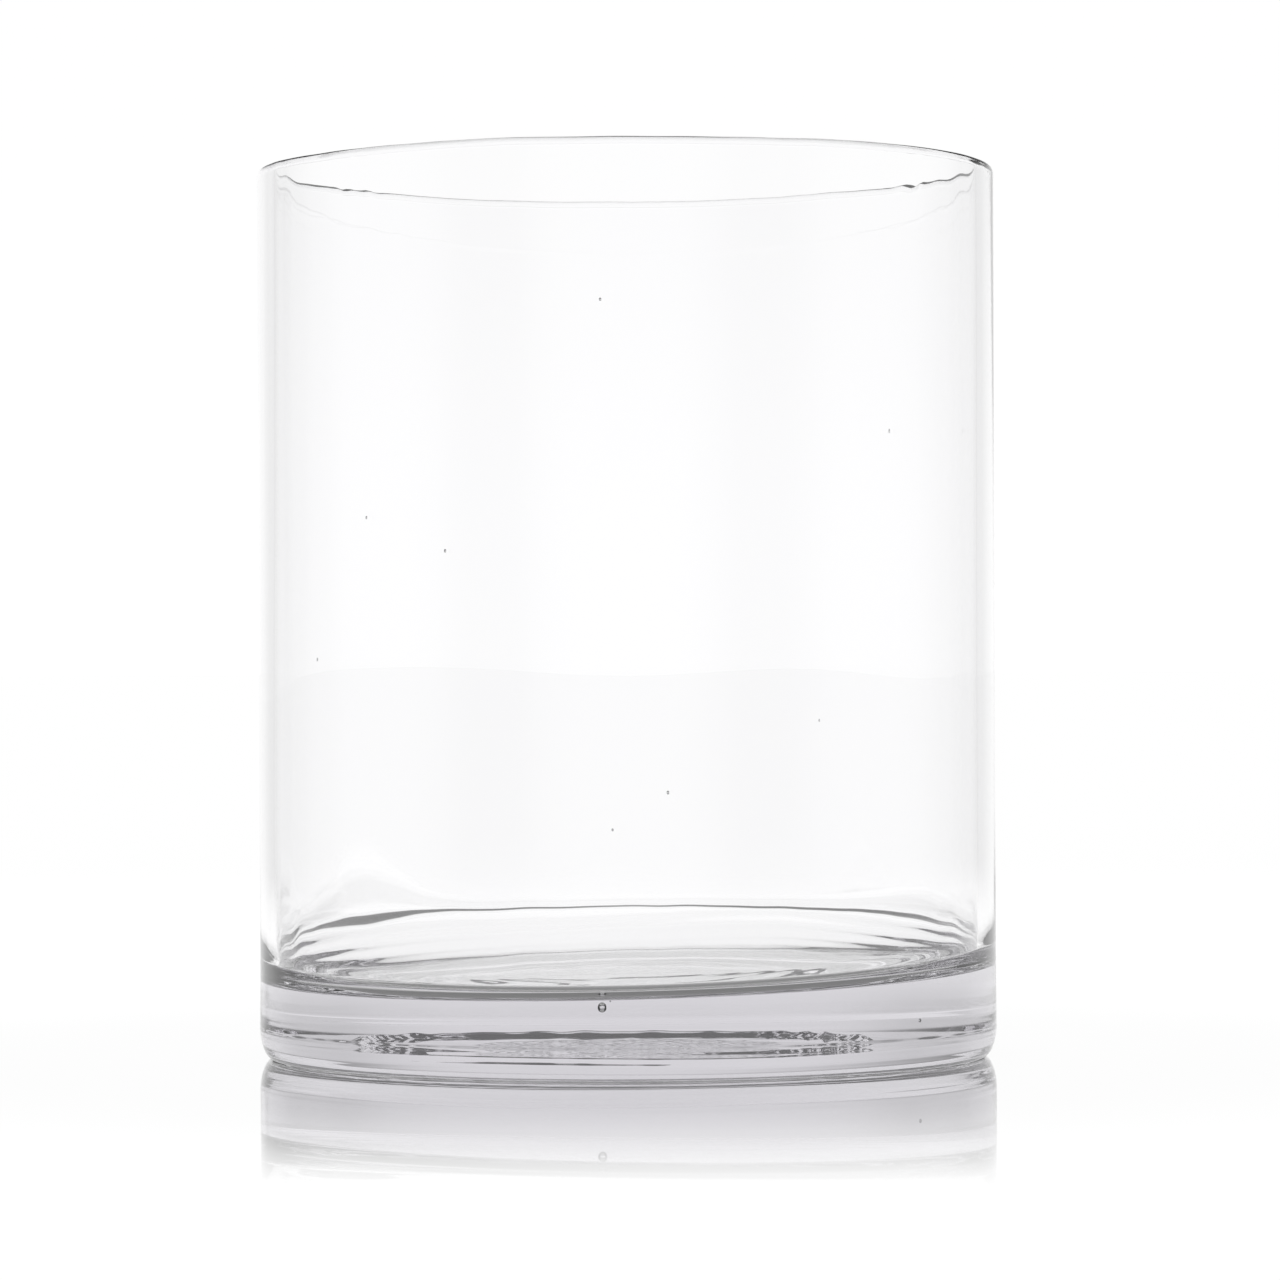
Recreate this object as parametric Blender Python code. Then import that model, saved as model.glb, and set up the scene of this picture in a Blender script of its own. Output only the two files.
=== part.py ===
"""A glass cylinder vase: one piece of clear blown glass, with a thick base and a hollowed underside.

Metres, +Z up. The origin is the centre of the foot, on the surface that the vase stands on.
"""

import math

import bpy

# The whole vase.
OUTER_RADIUS = 0.100
HEIGHT = 0.241
SEGMENTS = 80

# The wall and its rim, whose top is flat between two rounded edges.
WALL_THICKNESS = 0.0046
RIM_EDGE_RADIUS = 0.0012

# The solid base: the inner floor, and the cove between the floor and the wall.
FLOOR_HEIGHT = 0.0225
COVE_WIDTH = 0.0085
COVE_HEIGHT = 0.0090

# The heel, a part of an ellipse from the outer wall to the flat ring that the vase stands on.
HEEL_HEIGHT = 0.0085
HEEL_INSET = 0.0036
FOOT_RING_WIDTH = 0.0085

# The punt, the shallow pan-shaped hollow under the base. The low step in it is the mark of the
# iron that held the glass. A higher power makes the hollow flatter in the middle.
PUNT_HEIGHT = 0.0044
PUNT_POWER = 4
PUNT_STEP_RADIUS = 0.045
PUNT_STEP_HEIGHT = 0.0004

# How many straight stretches stand for each curve of the profile.
EDGE_STEPS = 3
COVE_STEPS = 8
HEEL_STEPS = 6
PUNT_STEPS = 5

CLEAR_GLASS = {"colour": (0.93, 0.93, 0.95, 1.0), "roughness": 0.02, "metallic": 0.0, "ior": 1.52}


def clear_scene():
    for item in list(bpy.data.objects):
        bpy.data.objects.remove(item)


def ellipse_arc(centre, radii, start, end, steps):
    """Points of an ellipse, from the angle start to the angle end, in degrees from +X, both included."""
    points = []
    for step in range(steps + 1):
        angle = math.radians(start + (end - start) * step / steps)
        across = centre[0] + radii[0] * math.cos(angle)
        up = centre[1] + radii[1] * math.sin(angle)
        points.append((across, up))
    return points


def floor_profile():
    """The inner floor from its centre outwards, and the cove that turns it up into the wall."""
    inner_radius = OUTER_RADIUS - WALL_THICKNESS
    cove_centre = (inner_radius - COVE_WIDTH, FLOOR_HEIGHT + COVE_HEIGHT)
    cove = ellipse_arc(cove_centre, (COVE_WIDTH, COVE_HEIGHT), -90, 0, COVE_STEPS)
    return [(0.0, FLOOR_HEIGHT), (cove_centre[0] / 2, FLOOR_HEIGHT)] + cove


def rim_profile():
    """The rim, from the top of the inner wall over to the top of the outer wall."""
    edge = (RIM_EDGE_RADIUS, RIM_EDGE_RADIUS)
    height = HEIGHT - RIM_EDGE_RADIUS
    inner_centre = (OUTER_RADIUS - WALL_THICKNESS + RIM_EDGE_RADIUS, height)
    outer_centre = (OUTER_RADIUS - RIM_EDGE_RADIUS, height)
    inner = ellipse_arc(inner_centre, edge, 180, 90, EDGE_STEPS)
    outer = ellipse_arc(outer_centre, edge, 90, 0, EDGE_STEPS)
    return inner + outer


def foot_profile():
    """The heel from the outer wall down to the flat ring, and the ring's inner edge."""
    foot_radius = OUTER_RADIUS - HEEL_INSET
    heel = ellipse_arc((foot_radius, HEEL_HEIGHT), (HEEL_INSET, HEEL_HEIGHT), 0, -90, HEEL_STEPS)
    return heel + [(foot_radius - FOOT_RING_WIDTH, 0.0)]


def punt_height(radius):
    """The height of the hollow under the base, without its step."""
    edge_radius = OUTER_RADIUS - HEEL_INSET - FOOT_RING_WIDTH
    return PUNT_HEIGHT * (1 - (radius / edge_radius) ** PUNT_POWER)


def punt_profile():
    """The hollow under the base, from the foot ring in to its step, and on to the centre."""
    edge_radius = OUTER_RADIUS - HEEL_INSET - FOOT_RING_WIDTH
    points = []
    for step in range(1, PUNT_STEPS + 1):
        radius = edge_radius + (PUNT_STEP_RADIUS - edge_radius) * step / PUNT_STEPS
        points.append((radius, punt_height(radius)))
    for share in (0.97, 0.6, 0.3, 0.0):
        radius = PUNT_STEP_RADIUS * share
        points.append((radius, punt_height(radius) + PUNT_STEP_HEIGHT))
    return points


def vase_profile():
    """The section, from the middle of the floor up over the rim and down to the middle of the underside."""
    return floor_profile() + rim_profile() + foot_profile() + punt_profile()


def turned(name, profile, material):
    """A closed body: the profile (distance from the axis, height) turned once round the Z axis."""
    mesh = bpy.data.meshes.new(name)
    points = [(across, 0.0, up) for across, up in profile]
    edges = [(index, index + 1) for index in range(len(points) - 1)]
    mesh.from_pydata(points, edges, [])
    body = bpy.data.objects.new(name, mesh)
    bpy.context.scene.collection.objects.link(body)
    mesh.materials.append(material)
    screw = body.modifiers.new("turn", "SCREW")
    screw.axis = "Z"
    screw.steps = SEGMENTS
    screw.render_steps = SEGMENTS
    screw.use_merge_vertices = True
    screw.merge_threshold = 0.00005
    screw.use_smooth_shade = True
    return body


def glass_material(name, look):
    material = bpy.data.materials.new(name)
    material.use_nodes = True
    shader = material.node_tree.nodes["Principled BSDF"]
    shader.inputs["Base Color"].default_value = look["colour"]
    shader.inputs["Roughness"].default_value = look["roughness"]
    shader.inputs["Metallic"].default_value = look["metallic"]
    shader.inputs["IOR"].default_value = look["ior"]
    shader.inputs["Transmission Weight"].default_value = 1.0
    return material


def build_vase():
    clear_scene()
    turned("vase_body", vase_profile(), glass_material("clear_glass", CLEAR_GLASS))


build_vase()
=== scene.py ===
"""The looks of the glass cylinder vase: its blown-glass body, its glossy white table, light and camera.

Metres and radians, apart from what says degrees. Angles round the vase start at +X, its right, and go
round by +Y, its back.
"""

import math

import bmesh
import bpy
import numpy as np
from mathutils import Matrix, Vector


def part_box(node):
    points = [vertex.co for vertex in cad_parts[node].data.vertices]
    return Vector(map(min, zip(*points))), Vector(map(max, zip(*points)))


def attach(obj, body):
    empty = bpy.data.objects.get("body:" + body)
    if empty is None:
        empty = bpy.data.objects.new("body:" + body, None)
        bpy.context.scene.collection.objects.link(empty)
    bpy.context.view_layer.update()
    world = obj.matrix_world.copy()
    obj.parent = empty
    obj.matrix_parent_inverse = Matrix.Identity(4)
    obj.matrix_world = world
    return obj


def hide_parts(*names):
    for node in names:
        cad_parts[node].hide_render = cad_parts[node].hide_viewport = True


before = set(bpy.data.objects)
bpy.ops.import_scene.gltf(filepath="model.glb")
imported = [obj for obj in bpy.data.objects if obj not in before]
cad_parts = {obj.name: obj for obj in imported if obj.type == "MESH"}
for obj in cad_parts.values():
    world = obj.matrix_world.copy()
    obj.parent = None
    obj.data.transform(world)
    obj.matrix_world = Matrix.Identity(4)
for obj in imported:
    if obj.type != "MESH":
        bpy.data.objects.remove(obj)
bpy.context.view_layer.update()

# The body's outer size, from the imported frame, and the facets round it.
LOW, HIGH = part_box("vase_body")
RADIUS = (HIGH[0] - LOW[0]) / 2
HEIGHT = HIGH[2]
SEGMENTS = 320

# The wall and its rim. Each rim edge is a part of an ellipse, given as its width and height.
WALL = 0.0046
INNER_RADIUS = RADIUS - WALL
MID_WALL_RADIUS = RADIUS - WALL / 2
RIM_INNER = (0.0026, 0.0021)
RIM_OUTER = (0.0018, 0.0021)

# The inner floor, and the cove between it and the wall.
FLOOR_HEIGHT = 0.0231
COVE_WIDTH = 0.0085
COVE_HEIGHT = 0.0077
COVE_TOP = FLOOR_HEIGHT + COVE_HEIGHT
FLOOR_RADIUS = INNER_RADIUS - COVE_WIDTH

# The heel, and the flat ring that the vase stands on.
HEEL_INSET = 0.0036
HEEL_HEIGHT = 0.0085
FOOT_RADIUS = RADIUS - HEEL_INSET
FOOT_RING = 0.0085
RING_INNER_RADIUS = FOOT_RADIUS - FOOT_RING

# The hollow under the base, and the rough ring in it that the iron left when it was broken off.
PUNT_HEIGHT = 0.0046
PONTIL_RADIUS = 0.045
PONTIL_OFFSET = -0.0028
PONTIL_STEP = 0.0006
RIDGE_HALF_WIDTH = 0.0011
FAINT_RING_RADIUS = 0.0555

# How far the blown shape is from a turned one. Slopes are a rise over a run, to the right and to the back.
COVE_RISE = 0.0041
COVE_SIDE = 0.0032
FLOOR_TILT = (0.0225, 0.0200)
FLOOR_DOME = 0.0008
PUNT_TILT = 0.027
RIM_TILT = 0.0003

# The heights of the waves and ripples in its surfaces.
RIM_WAVE = 0.00022
RIM_FINE_WAVE = 0.00005
RIM_CHIPS = 0.00035
RIM_DROP = 0.0004
INNER_WAVE = 0.00012
INNER_FINE_WAVE = 0.00002
OUTER_WAVE = 0.00006
OUTER_FINE_WAVE = 0.000012
FLOOR_WAVE = 0.00005
FLOOR_RIPPLE = 0.00003
HEEL_RIPPLE = 0.00003

# The glass, and the round frosted patch in the middle of the hollow under the base.
GLASS_IOR = 1.52
BODY_DENSITY = 2.32
BODY_COLOUR = (0.045, 0.0, 0.113, 1.0)
TINT = (0.995, 0.995, 1.0, 1.0)
WHITE = (1.0, 1.0, 1.0, 1.0)
FROSTED_RADIUS = 0.0275
FROSTED_TOP = 0.0090

# The table glows by itself, with painted shade under the vase and close round its foot. Each is a glow or a
# mirror's share that changes over a stretch of radius, or of Layer Weight's Facing, as (from, to, start, end).
TABLE_HALF_SIDE = 100.0
TABLE_HEIGHT = -0.0001
# Painted shade: the glow is dimmed under the vase, all but nought just inside the foot, and lower in a ring
# round it.
UNDER_GLOW_PAINTED_SHADE = (0.0, 0.088, 0.75, 0.18)
FOOT_EDGE_PAINTED_SHADE = (0.090, 0.1005, 0.0, 1.0)
ROUND_GLOW_PAINTED_SHADE = (0.0985, 0.125, 0.90, 1.04)
MIRROR_COLOUR = (0.97, 0.97, 0.97, 1.0)
NEAR_FACING = (0.80, 0.915, 0.04, 0.96)
NEAR_RADIUS = (0.16, 0.42, 1.0, 0.0)
FAR_FACING = (0.925, 0.955, 0.0, 0.97)
FAR_RADIUS = (0.6, 1.5, 0.0, 1.0)

# The backdrop, in the same form: over a direction's Z, the larger of its X and Y, its Y, and its Z again.
OVERHEAD = (0.125, 0.26, 1.0, 0.20)
DIAGONAL = (0.78, 0.975, 0.80, 1.0)
BACK_GLOW = (0.90, 1.0, 1.0, 1.03)
LOW_GLOW = (0.02, 0.10, 1.0, 0.975)

# The camera is level and in front of the vase. Its picture is shifted, and rolled by a part of a degree.
CAMERA_PLACE = (0, -1.48, 0.1053)
CAMERA_LENS = 153
CAMERA_SHIFT = (0.0102, 0.0219)
CAMERA_ROLL_DEGREES = -0.23

# Seed bubbles in the glass: place, radius and how many times longer than wide they are.
SEEDS = (
    ((-0.0065, -0.0925, 0.0189), 0.00115, 1.15),
    ((-0.0045, -0.0926, 0.0205), 0.00022, 1.0),
    ((-0.0064, -0.0976, 0.1990), 0.00030, 1.4),
    ((-0.0665, -0.0714, 0.1445), 0.00026, 1.6),
    ((-0.0460, -0.0860, 0.1355), 0.00030, 1.5),
    ((0.0102, -0.0971, 0.0736), 0.00030, 1.6),
    ((-0.0038, -0.0976, 0.0642), 0.00026, 1.4),
    ((0.0735, -0.0580, 0.0130), 0.00045, 1.2),
    ((0.0770, 0.0596, 0.1720), 0.00035, 1.8),
    ((-0.0900, 0.0380, 0.1080), 0.00030, 1.6),
    ((0.0560, 0.0799, 0.0900), 0.00028, 1.5),
)


def smoothstep(value, low, high):
    """0 below low, 1 above high, and a smooth rise between them."""
    share = np.clip((value - low) / (high - low), 0.0, 1.0)
    return share * share * (3 - 2 * share)


def hump(value, middle, width):
    """A smooth hump, 1 high, that has all but gone two widths from its middle."""
    return np.exp(-(((value - middle) / width) ** 2))


def waves(angle, first, last, seed, fall=1.0):
    """A smooth wave round the body, about 1 high, made of whole turns so that it closes on itself."""
    rng = np.random.RandomState(seed)
    total = np.zeros_like(angle)
    power = 0.0
    for count in range(first, last + 1):
        size = (first / count) ** fall * rng.uniform(0.5, 1.0)
        total += size * np.cos(count * angle + rng.uniform(0, 2 * math.pi))
        power += size * size
    return total / math.sqrt(power / 2) / 1.5


def ellipse_arc(centre, radii, start, end, steps):
    """Points of an ellipse, from the angle start to the angle end, in degrees from +X, both included."""
    turn = np.radians(np.linspace(start, end, steps + 1))
    return list(zip(centre[0] + radii[0] * np.cos(turn), centre[1] + radii[1] * np.sin(turn)))


def wall_heights(bottom, top):
    """Heights up a wall between two curves, with close rings by each curve to keep it flat."""
    ends = (0.00015, 0.0006, 0.002)
    middle = list(np.linspace(bottom + 0.006, top - 0.006, 22))
    return [bottom + end for end in ends] + middle + [top - end for end in reversed(ends)]


def inner_wall_heights():
    """Heights up the inner wall, close together over the raised line at its foot."""
    line_top = COVE_TOP + 0.0018
    swell_top = COVE_TOP + 0.0100
    heights = list(np.linspace(COVE_TOP, line_top, 10)[1:])
    heights += list(np.linspace(line_top, swell_top, 17)[1:])
    return heights + wall_heights(swell_top + 0.0002, HEIGHT - RIM_INNER[1])


def punt_radii():
    """Rings of the hollow, from the foot ring in to the centre, closest over the jagged ridge."""
    near = np.array([0.0050, 0.0035, 0.0024, 0.0017, 0.0013, 0.0011, 0.00104, 0.0008, 0.0005, 0.0002, 0.00006])
    outer = np.linspace(RING_INNER_RADIUS, PONTIL_RADIUS + 0.007, 24)[1:]
    ridge = PONTIL_RADIUS + np.concatenate([near, [0.0], -near[::-1]])
    inner = np.linspace(PONTIL_RADIUS - 0.007, 0.0, 20)
    return np.concatenate([outer, ridge, inner])


def section():
    """The smooth section as (radius, height, zone), from the middle of the floor over the rim to the punt."""
    cove = ellipse_arc((FLOOR_RADIUS, COVE_TOP), (COVE_WIDTH, COVE_HEIGHT), -90, 0, 56)
    rim = ellipse_arc((INNER_RADIUS + RIM_INNER[0], HEIGHT - RIM_INNER[1]), RIM_INNER, 180, 90, 10)
    rim += ellipse_arc((RADIUS - RIM_OUTER[0], HEIGHT - RIM_OUTER[1]), RIM_OUTER, 90, 0, 10)
    outer = wall_heights(HEEL_HEIGHT, HEIGHT - RIM_OUTER[1])[::-1]
    heel = ellipse_arc((FOOT_RADIUS, HEEL_HEIGHT), (HEEL_INSET, HEEL_HEIGHT), 0, -90, 26)
    points = [(r, FLOOR_HEIGHT, "floor") for r in np.linspace(0, FLOOR_RADIUS, 44)[:-1]]
    points += [(r, z, "cove") for r, z in cove]
    points += [(INNER_RADIUS, z, "inner") for z in inner_wall_heights()]
    points += [(r, z, "rim") for r, z in rim]
    points += [(RADIUS, z, "outer") for z in outer]
    points += [(r, z, "heel") for r, z in heel]
    points += [(r, 0.0, "foot") for r in (RING_INNER_RADIUS + 0.003, RING_INNER_RADIUS)]
    points += [(r, 0.0, "punt") for r in punt_radii()]
    return points


def floor_plane(turn, radius):
    """The height of the inner floor, which is a little domed and slopes up to the back and the right."""
    slope = FLOOR_TILT[0] * np.cos(turn) + FLOOR_TILT[1] * np.sin(turn)
    return FLOOR_HEIGHT + radius * slope - FLOOR_DOME * (radius / FLOOR_RADIUS) ** 4


def cove_height(turn):
    """The cove stands tallest at the back, and swells at the back left and the back right."""
    left = 0.0045 * hump(turn, 2.55, 0.45)
    right = 0.0007 * hump(turn, 0.60, 0.30)
    return COVE_HEIGHT + FLOOR_DOME + COVE_RISE * np.sin(turn) + left + right


def cove_ripple(turn, radius, height):
    """Ripples that run round the cove, deep at the sides and the back. Gives the steps outwards and up."""
    climb = math.atan2(height - FLOOR_HEIGHT, radius - FLOOR_RADIUS + 1e-6)
    along = (height - FLOOR_HEIGHT) + (radius - FLOOR_RADIUS)
    deep = (0.00011 + 0.00019 * np.abs(np.cos(turn))) * smoothstep(np.sin(turn), -0.5, 0.3) + 0.00002
    ripple = deep * np.sin(along / 0.00062 + 1.6 * waves(turn, 2, 7, 41))
    ripple *= math.sin(math.pi * min(1.0, max(0.0, (height - FLOOR_HEIGHT) / COVE_HEIGHT)))
    return -ripple * math.sin(climb), ripple * math.cos(climb)


def raised_line(turn, height):
    """How far the line round the top of the cove stands in: broad at the sides, all but gone in front."""
    middle = floor_plane(turn, FLOOR_RADIUS) + cove_height(turn) + 0.0001 * waves(turn, 2, 6, 91)
    back = smoothstep(np.sin(turn), -0.35, 0.10)
    side = np.abs(np.cos(turn)) ** 2
    swell = hump(turn, 2.50, 0.20) + 0.25 * hump(turn, 0.50, 0.22)
    width = 0.00040 + 0.0003 * side + 0.0022 * swell
    size = (0.00055 + 0.0004 * side + 0.0022 * swell) * (1 + 0.15 * waves(turn, 2, 7, 92))
    spread = np.where(height > middle, 3.0, 0.9)
    return size * (0.06 + 0.94 * back) * hump(height, middle, width * spread)


def inside_ring(turn, radius, height, zone):
    """A ring of the floor, the cove or the inner wall, without the waves of the wall."""
    r = np.full(SEGMENTS, radius)
    in_cove = min(1.0, (INNER_RADIUS - radius) / COVE_WIDTH)
    r -= COVE_SIDE * np.cos(turn) ** 2 * in_cove * min(1.0, radius / FLOOR_RADIUS)
    z = floor_plane(turn, min(radius, FLOOR_RADIUS))
    if zone == "floor":
        ripple = np.sin(radius / 0.0011 + 1.2 * waves(turn, 2, 6, 31))
        z += FLOOR_WAVE * waves(turn + radius * 8, 3, 9, 21) * smoothstep(r, 0.01, 0.06)
        z += FLOOR_RIPPLE * ripple * smoothstep(r, 0.02, 0.07)
        return r, z
    if zone == "cove":
        outwards, up = cove_ripple(turn, radius, height)
        z += (height - FLOOR_HEIGHT) / COVE_HEIGHT * cove_height(turn) + up
        r += outwards
    if zone == "inner":
        left = (HEIGHT - height) / (HEIGHT - COVE_TOP)
        z = height + (z + cove_height(turn) - COVE_TOP) * left
    return r - raised_line(turn, z), z


def wall_wave(turn, radius, height):
    """How far a wall or a rim waves outwards, on its inner or its outer side."""
    if radius < MID_WALL_RADIUS:
        wave = INNER_WAVE * waves(turn + height * 3, 2, 7, 51) + INNER_FINE_WAVE * waves(turn, 18, 60, 52, 0.6)
        return smoothstep(height, COVE_TOP, COVE_TOP + 0.03) * wave
    wave = smoothstep(height, HEEL_HEIGHT, HEEL_HEIGHT + 0.02) * OUTER_WAVE
    wave = wave * (1 + waves(turn + height * 2, 2, 5, 61))
    return -wave - OUTER_FINE_WAVE * (1 + waves(turn, 20, 60, 62, 0.6))


def rim_wave(turn, height):
    """How far the rim waves up and down, which fades away down the walls. It is chipped at two places."""
    chipped = hump(turn, 2.49, 0.10) + hump(turn, 0.53, 0.12)
    wave = RIM_WAVE * waves(turn, 2, 9, 11, 0.8) + RIM_FINE_WAVE * waves(turn, 10, 40, 12, 0.5)
    wave += RIM_CHIPS * waves(turn, 40, 90, 13, 0.1) * chipped
    return smoothstep(height, 0.15, HEIGHT) * (wave - RIM_DROP + RIM_TILT * np.cos(turn))


def heel_wave(turn, height):
    """Fine lines that run round the heel."""
    ripple = np.sin(height / 0.00035 + 0.8 * waves(turn, 2, 6, 71))
    return HEEL_RIPPLE * (1 + ripple) * math.sin(math.pi * (HEEL_HEIGHT - height) / HEEL_HEIGHT)


def punt_ring(turn, radius):
    """A ring of the hollow, which rises to the back, with a jagged ridge round its middle."""
    across = radius - PONTIL_RADIUS
    left = smoothstep(-np.cos(turn), 0.75, 1.0)
    tall = 0.00060 + 0.00025 * smoothstep(np.sin(turn), -0.7, 0.3) + 0.0005 * left
    tall *= 1 + 0.22 * waves(turn, 8, 60, 83, 0.1)
    shift = PONTIL_OFFSET * np.cos(turn)
    shift += 0.0006 * waves(turn, 3, 14, 81, 0.7) + 0.0002 * waves(turn, 15, 60, 82, 0.2)
    shift += np.clip(across / RIDGE_HALF_WIDTH, -1, 1) * (1.15 * tall - RIDGE_HALF_WIDTH)
    r = radius + shift * (1 - smoothstep(abs(across), 0.0015, 0.012))
    z = PUNT_HEIGHT + PUNT_TILT * r * np.sin(turn)
    z += PONTIL_STEP * smoothstep(across, -0.0003, 0.0003)
    z += tall * max(0.0, 1 - abs(across) / RIDGE_HALF_WIDTH)
    z += 0.00012 * hump(r, FAINT_RING_RADIUS, 0.0010)
    z += 0.00002 * waves(turn + 40 * radius, 5, 30, 84, 0.4) * smoothstep(r, 0.004, 0.02)
    return r, z * (1 - (radius / RING_INNER_RADIUS) ** 5) ** 1.4


def blown_ring(turn, radius, height, zone):
    """One point of the section turned round the axis, with the waves, tilts and ripples of a blown body."""
    r = np.full(SEGMENTS, radius)
    z = np.full(SEGMENTS, height)
    if zone in ("floor", "cove", "inner"):
        r, z = inside_ring(turn, radius, height, zone)
    if zone in ("inner", "rim", "outer"):
        r = r + wall_wave(turn, radius, height)
        z = z + rim_wave(turn, height)
    if zone == "heel":
        r = r - heel_wave(turn, height)
    if zone == "punt":
        r, z = punt_ring(turn, radius)
    return np.stack([r * np.cos(turn), r * np.sin(turn), z], axis=1)


def body_mesh():
    """The vertices and faces of the body: rings of quads, and a fan at each end of the section."""
    turn = np.linspace(0, 2 * math.pi, SEGMENTS, endpoint=False)
    rings = [blown_ring(turn, radius, height, zone) for radius, height, zone in section()]
    verts = [tuple(rings[0].mean(axis=0))]
    for ring in rings[1:-1]:
        verts += [tuple(place) for place in ring]
    last = len(verts)
    verts.append(tuple(rings[-1].mean(axis=0)))
    starts = [1 + index * SEGMENTS for index in range(len(rings) - 2)]
    faces = []
    for this in range(SEGMENTS):
        following = (this + 1) % SEGMENTS
        faces.append((0, starts[0] + this, starts[0] + following))
        for a, b in zip(starts, starts[1:]):
            faces.append((a + this, b + this, b + following, a + following))
        faces.append((starts[-1] + this, last, starts[-1] + following))
    return verts, faces


def add_seeds(bm):
    """Each seed is a small closed surface that faces into its own hollow, inside the glass."""
    for place, radius, stretch in SEEDS:
        shape = Matrix.Translation(Vector(place)) @ Matrix.Diagonal((radius, radius, radius * stretch, 1.0))
        made = bmesh.ops.create_icosphere(bm, subdivisions=3, radius=1.0, matrix=shape)
        faces = {face for vert in made["verts"] for face in vert.link_faces}
        bmesh.ops.reverse_faces(bm, faces=list(faces))


def build_vase():
    """The whole body in clear glass, with its seed bubbles, as one mesh."""
    verts, faces = body_mesh()
    mesh = bpy.data.meshes.new("vase_glass")
    mesh.from_pydata(verts, [], faces)
    bm = bmesh.new()
    bm.from_mesh(mesh)
    bmesh.ops.recalc_face_normals(bm, faces=bm.faces)
    if bm.calc_volume(signed=True) < 0:
        bmesh.ops.reverse_faces(bm, faces=bm.faces)
    add_seeds(bm)
    bm.to_mesh(mesh)
    bm.free()
    mesh.shade_smooth()
    vase = bpy.data.objects.new("vase_glass", mesh)
    bpy.context.scene.collection.objects.link(vase)
    mesh.materials.append(glass_material())
    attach(vase, "root")
    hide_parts("vase_body")


class Nodes:
    """A short way to write a node tree: every call adds a node and returns it."""

    def __init__(self, tree):
        self.tree = tree
        tree.nodes.clear()

    def add(self, kind, **settings):
        """A new shader node, with its settings."""
        node = self.tree.nodes.new("ShaderNode" + kind)
        for name, value in settings.items():
            setattr(node, name, value)
        return node

    def link(self, source, target):
        """Feed one socket from another."""
        self.tree.links.new(source, target)

    def math(self, operation, first, second):
        """The result of a sum on two sockets or numbers."""
        node = self.add("Math", operation=operation)
        for socket, value in zip(node.inputs, (first, second)):
            if isinstance(value, (int, float)):
                socket.default_value = value
            else:
                self.link(value, socket)
        return node.outputs[0]

    def ramp(self, value, low, high, start, end):
        """A smooth step from start to end as the value goes from low to high."""
        node = self.add("MapRange", interpolation_type="SMOOTHSTEP")
        self.link(value, node.inputs["Value"])
        node.inputs["From Min"].default_value = low
        node.inputs["From Max"].default_value = high
        node.inputs["To Min"].default_value = start
        node.inputs["To Max"].default_value = end
        return node.outputs[0]

    def places(self):
        """The distance from the object's own Z axis, the height along it, and the whole place."""
        place = self.add("TexCoord").outputs["Object"]
        split = self.add("SeparateXYZ")
        self.link(place, split.inputs[0])
        flat = self.add("CombineXYZ")
        self.link(split.outputs["X"], flat.inputs["X"])
        self.link(split.outputs["Y"], flat.inputs["Y"])
        length = self.add("VectorMath", operation="LENGTH")
        self.link(flat.outputs[0], length.inputs[0])
        return length.outputs["Value"], split.outputs["Z"], place


def faint_tint(nodes, place):
    """A colour that drifts, in soft patches, between white and a hint of blue."""
    tone = nodes.add("TexNoise")
    nodes.link(place, tone.inputs["Vector"])
    tone.inputs["Scale"].default_value = 22.0
    tone.inputs["Detail"].default_value = 3.0
    tint = nodes.add("Mix", data_type="RGBA")
    nodes.link(tone.outputs["Fac"], tint.inputs["Factor"])
    tint.inputs["A"].default_value = TINT
    tint.inputs["B"].default_value = WHITE
    return tint.outputs["Result"]


def frosting(nodes, radius, height, place):
    """A speckled roughness on the round patch under the base, and none on the rest of the glass."""
    grit = nodes.add("TexNoise")
    nodes.link(place, grit.inputs["Vector"])
    grit.inputs["Scale"].default_value = 900.0
    grit.inputs["Detail"].default_value = 4.0
    fleck = nodes.ramp(grit.outputs["Fac"], 0.42, 0.62, 0.02, 0.30)
    inside = nodes.ramp(radius, FROSTED_RADIUS - 0.001, FROSTED_RADIUS + 0.001, 1.0, 0.0)
    below = nodes.ramp(height, FROSTED_TOP - 0.0005, FROSTED_TOP + 0.0005, 1.0, 0.0)
    return nodes.math("MULTIPLY", nodes.math("MULTIPLY", fleck, inside), below)


def glass_material():
    """Clear glass with a faint lavender body, and a frosted patch under the middle of the base."""
    material = bpy.data.materials.new("clear_glass")
    material.use_nodes = True
    nodes = Nodes(material.node_tree)
    radius, height, place = nodes.places()
    shader = nodes.add("BsdfPrincipled")
    shader.inputs["IOR"].default_value = GLASS_IOR
    shader.inputs["Transmission Weight"].default_value = 1.0
    nodes.link(faint_tint(nodes, place), shader.inputs["Base Color"])
    nodes.link(frosting(nodes, radius, height, place), shader.inputs["Roughness"])
    body = nodes.add("VolumeAbsorption")
    body.inputs["Density"].default_value = BODY_DENSITY
    body.inputs["Color"].default_value = BODY_COLOUR
    output = nodes.add("OutputMaterial")
    nodes.link(shader.outputs[0], output.inputs["Surface"])
    nodes.link(body.outputs[0], output.inputs["Volume"])
    return material


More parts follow.
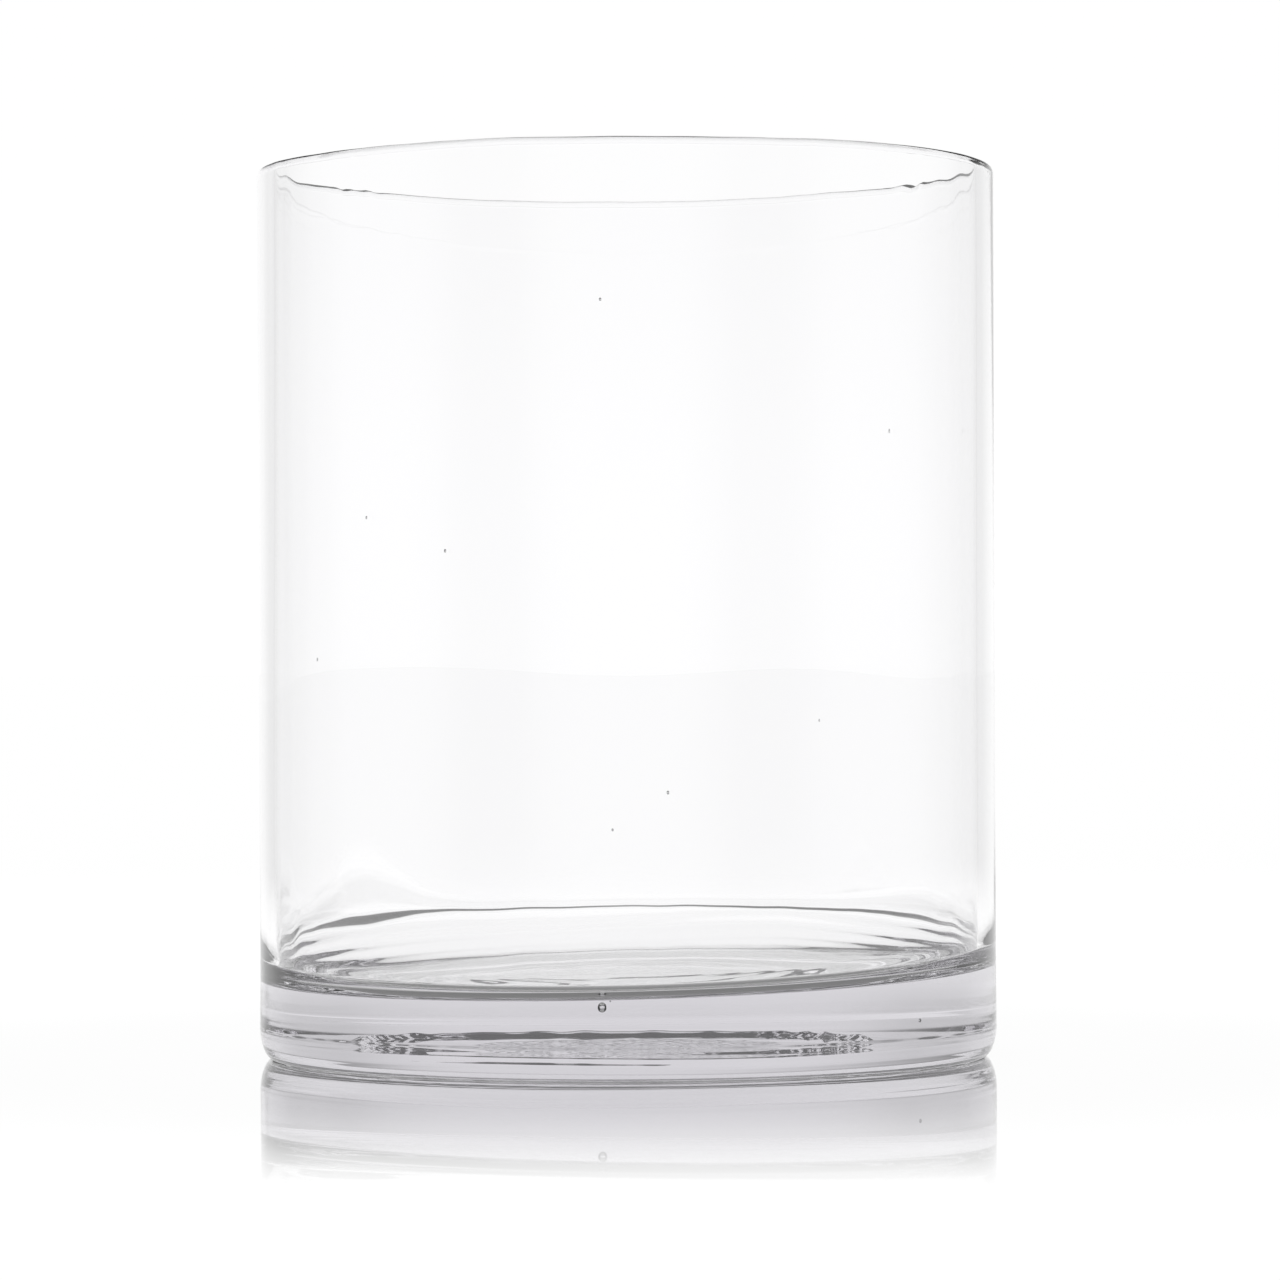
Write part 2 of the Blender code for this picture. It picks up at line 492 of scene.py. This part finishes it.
def table_material():
    """A white gloss: it glows, with painted shade under and close round the vase, and is a mirror at a low
    angle.
    """
    material = bpy.data.materials.new("white_gloss_table")
    material.use_nodes = True
    nodes = Nodes(material.node_tree)
    radius = nodes.places()[0]
    # Painted shade: the glow is lowered under the vase, just inside its foot and in a ring round it.
    under = nodes.ramp(radius, *UNDER_GLOW_PAINTED_SHADE)
    round_painted_shade = nodes.ramp(radius, *ROUND_GLOW_PAINTED_SHADE)
    open_glow_with_painted_shade = nodes.math("MULTIPLY", nodes.ramp(radius, *FOOT_EDGE_PAINTED_SHADE), round_painted_shade)
    white = nodes.add("Emission")
    nodes.link(nodes.math("MAXIMUM", under, open_glow_with_painted_shade), white.inputs["Strength"])
    mirror = nodes.add("BsdfGlossy")
    mirror.inputs["Color"].default_value = MIRROR_COLOUR
    mirror.inputs["Roughness"].default_value = 0.0
    angle = nodes.add("LayerWeight")
    angle.inputs["Blend"].default_value = 0.5
    grazing = nodes.ramp(angle.outputs["Facing"], *NEAR_FACING)
    lowest = nodes.ramp(angle.outputs["Facing"], *FAR_FACING)
    near = nodes.math("MULTIPLY", grazing, nodes.ramp(radius, *NEAR_RADIUS))
    far = nodes.math("MULTIPLY", lowest, nodes.ramp(radius, *FAR_RADIUS))
    mixed = nodes.add("MixShader")
    nodes.link(nodes.math("MAXIMUM", near, far), mixed.inputs["Fac"])
    nodes.link(white.outputs[0], mixed.inputs[1])
    nodes.link(mirror.outputs[0], mixed.inputs[2])
    output = nodes.add("OutputMaterial")
    nodes.link(mixed.outputs[0], output.inputs["Surface"])
    return material


def build_floor():
    """A wide flat table, just below the foot ring."""
    mesh = bpy.data.meshes.new("studio_floor")
    signs = ((-1, -1), (1, -1), (1, 1), (-1, 1))
    corners = [(x * TABLE_HALF_SIDE, y * TABLE_HALF_SIDE, TABLE_HEIGHT) for x, y in signs]
    mesh.from_pydata(corners, [], [(0, 1, 2, 3)])
    floor = bpy.data.objects.new("studio_floor", mesh)
    bpy.context.scene.collection.objects.link(floor)
    mesh.materials.append(table_material())


def build_light():
    """A wide white backdrop, darker overhead and on the diagonals, and brightest straight behind the vase."""
    world = bpy.data.worlds.new("studio_light")
    bpy.context.scene.world = world
    world.use_nodes = True
    nodes = Nodes(world.node_tree)
    split = nodes.add("SeparateXYZ")
    nodes.link(nodes.add("TexCoord").outputs["Generated"], split.inputs[0])
    overhead = nodes.ramp(split.outputs["Z"], *OVERHEAD)
    sideways = nodes.math("ABSOLUTE", split.outputs["X"], 0.0)
    lengthways = nodes.math("ABSOLUTE", split.outputs["Y"], 0.0)
    diagonal = nodes.ramp(nodes.math("MAXIMUM", sideways, lengthways), *DIAGONAL)
    back_glow = nodes.ramp(split.outputs["Y"], *BACK_GLOW)
    low_glow = nodes.ramp(split.outputs["Z"], *LOW_GLOW)
    sky = nodes.add("Background")
    sky.inputs["Color"].default_value = WHITE
    wide = nodes.math("MULTIPLY", overhead, diagonal)
    narrow = nodes.math("MULTIPLY", back_glow, low_glow)
    nodes.link(nodes.math("MULTIPLY", wide, narrow), sky.inputs["Strength"])
    output = nodes.add("OutputWorld")
    nodes.link(sky.outputs[0], output.inputs["Surface"])


def build_camera():
    """A long lens, a little below the middle of the vase."""
    data = bpy.data.cameras.new("camera")
    data.sensor_width = 36
    data.lens = CAMERA_LENS
    data.shift_x, data.shift_y = CAMERA_SHIFT
    camera = bpy.data.objects.new("camera", data)
    camera.location = CAMERA_PLACE
    upright = Matrix.Rotation(math.radians(90), 3, "X")
    turned = upright @ Matrix.Rotation(math.radians(CAMERA_ROLL_DEGREES), 3, "Z")
    camera.rotation_euler = turned.to_euler()
    bpy.context.scene.collection.objects.link(camera)
    bpy.context.scene.camera = camera


def set_light_paths():
    """Clear glass this thick needs many bounces before a ray is out of it."""
    scene = bpy.context.scene
    scene.cycles.max_bounces = 32
    scene.cycles.transmission_bounces = 32
    scene.cycles.glossy_bounces = 16
    scene.view_settings.view_transform = "Standard"


build_vase()
build_floor()
build_light()
build_camera()
set_light_paths()
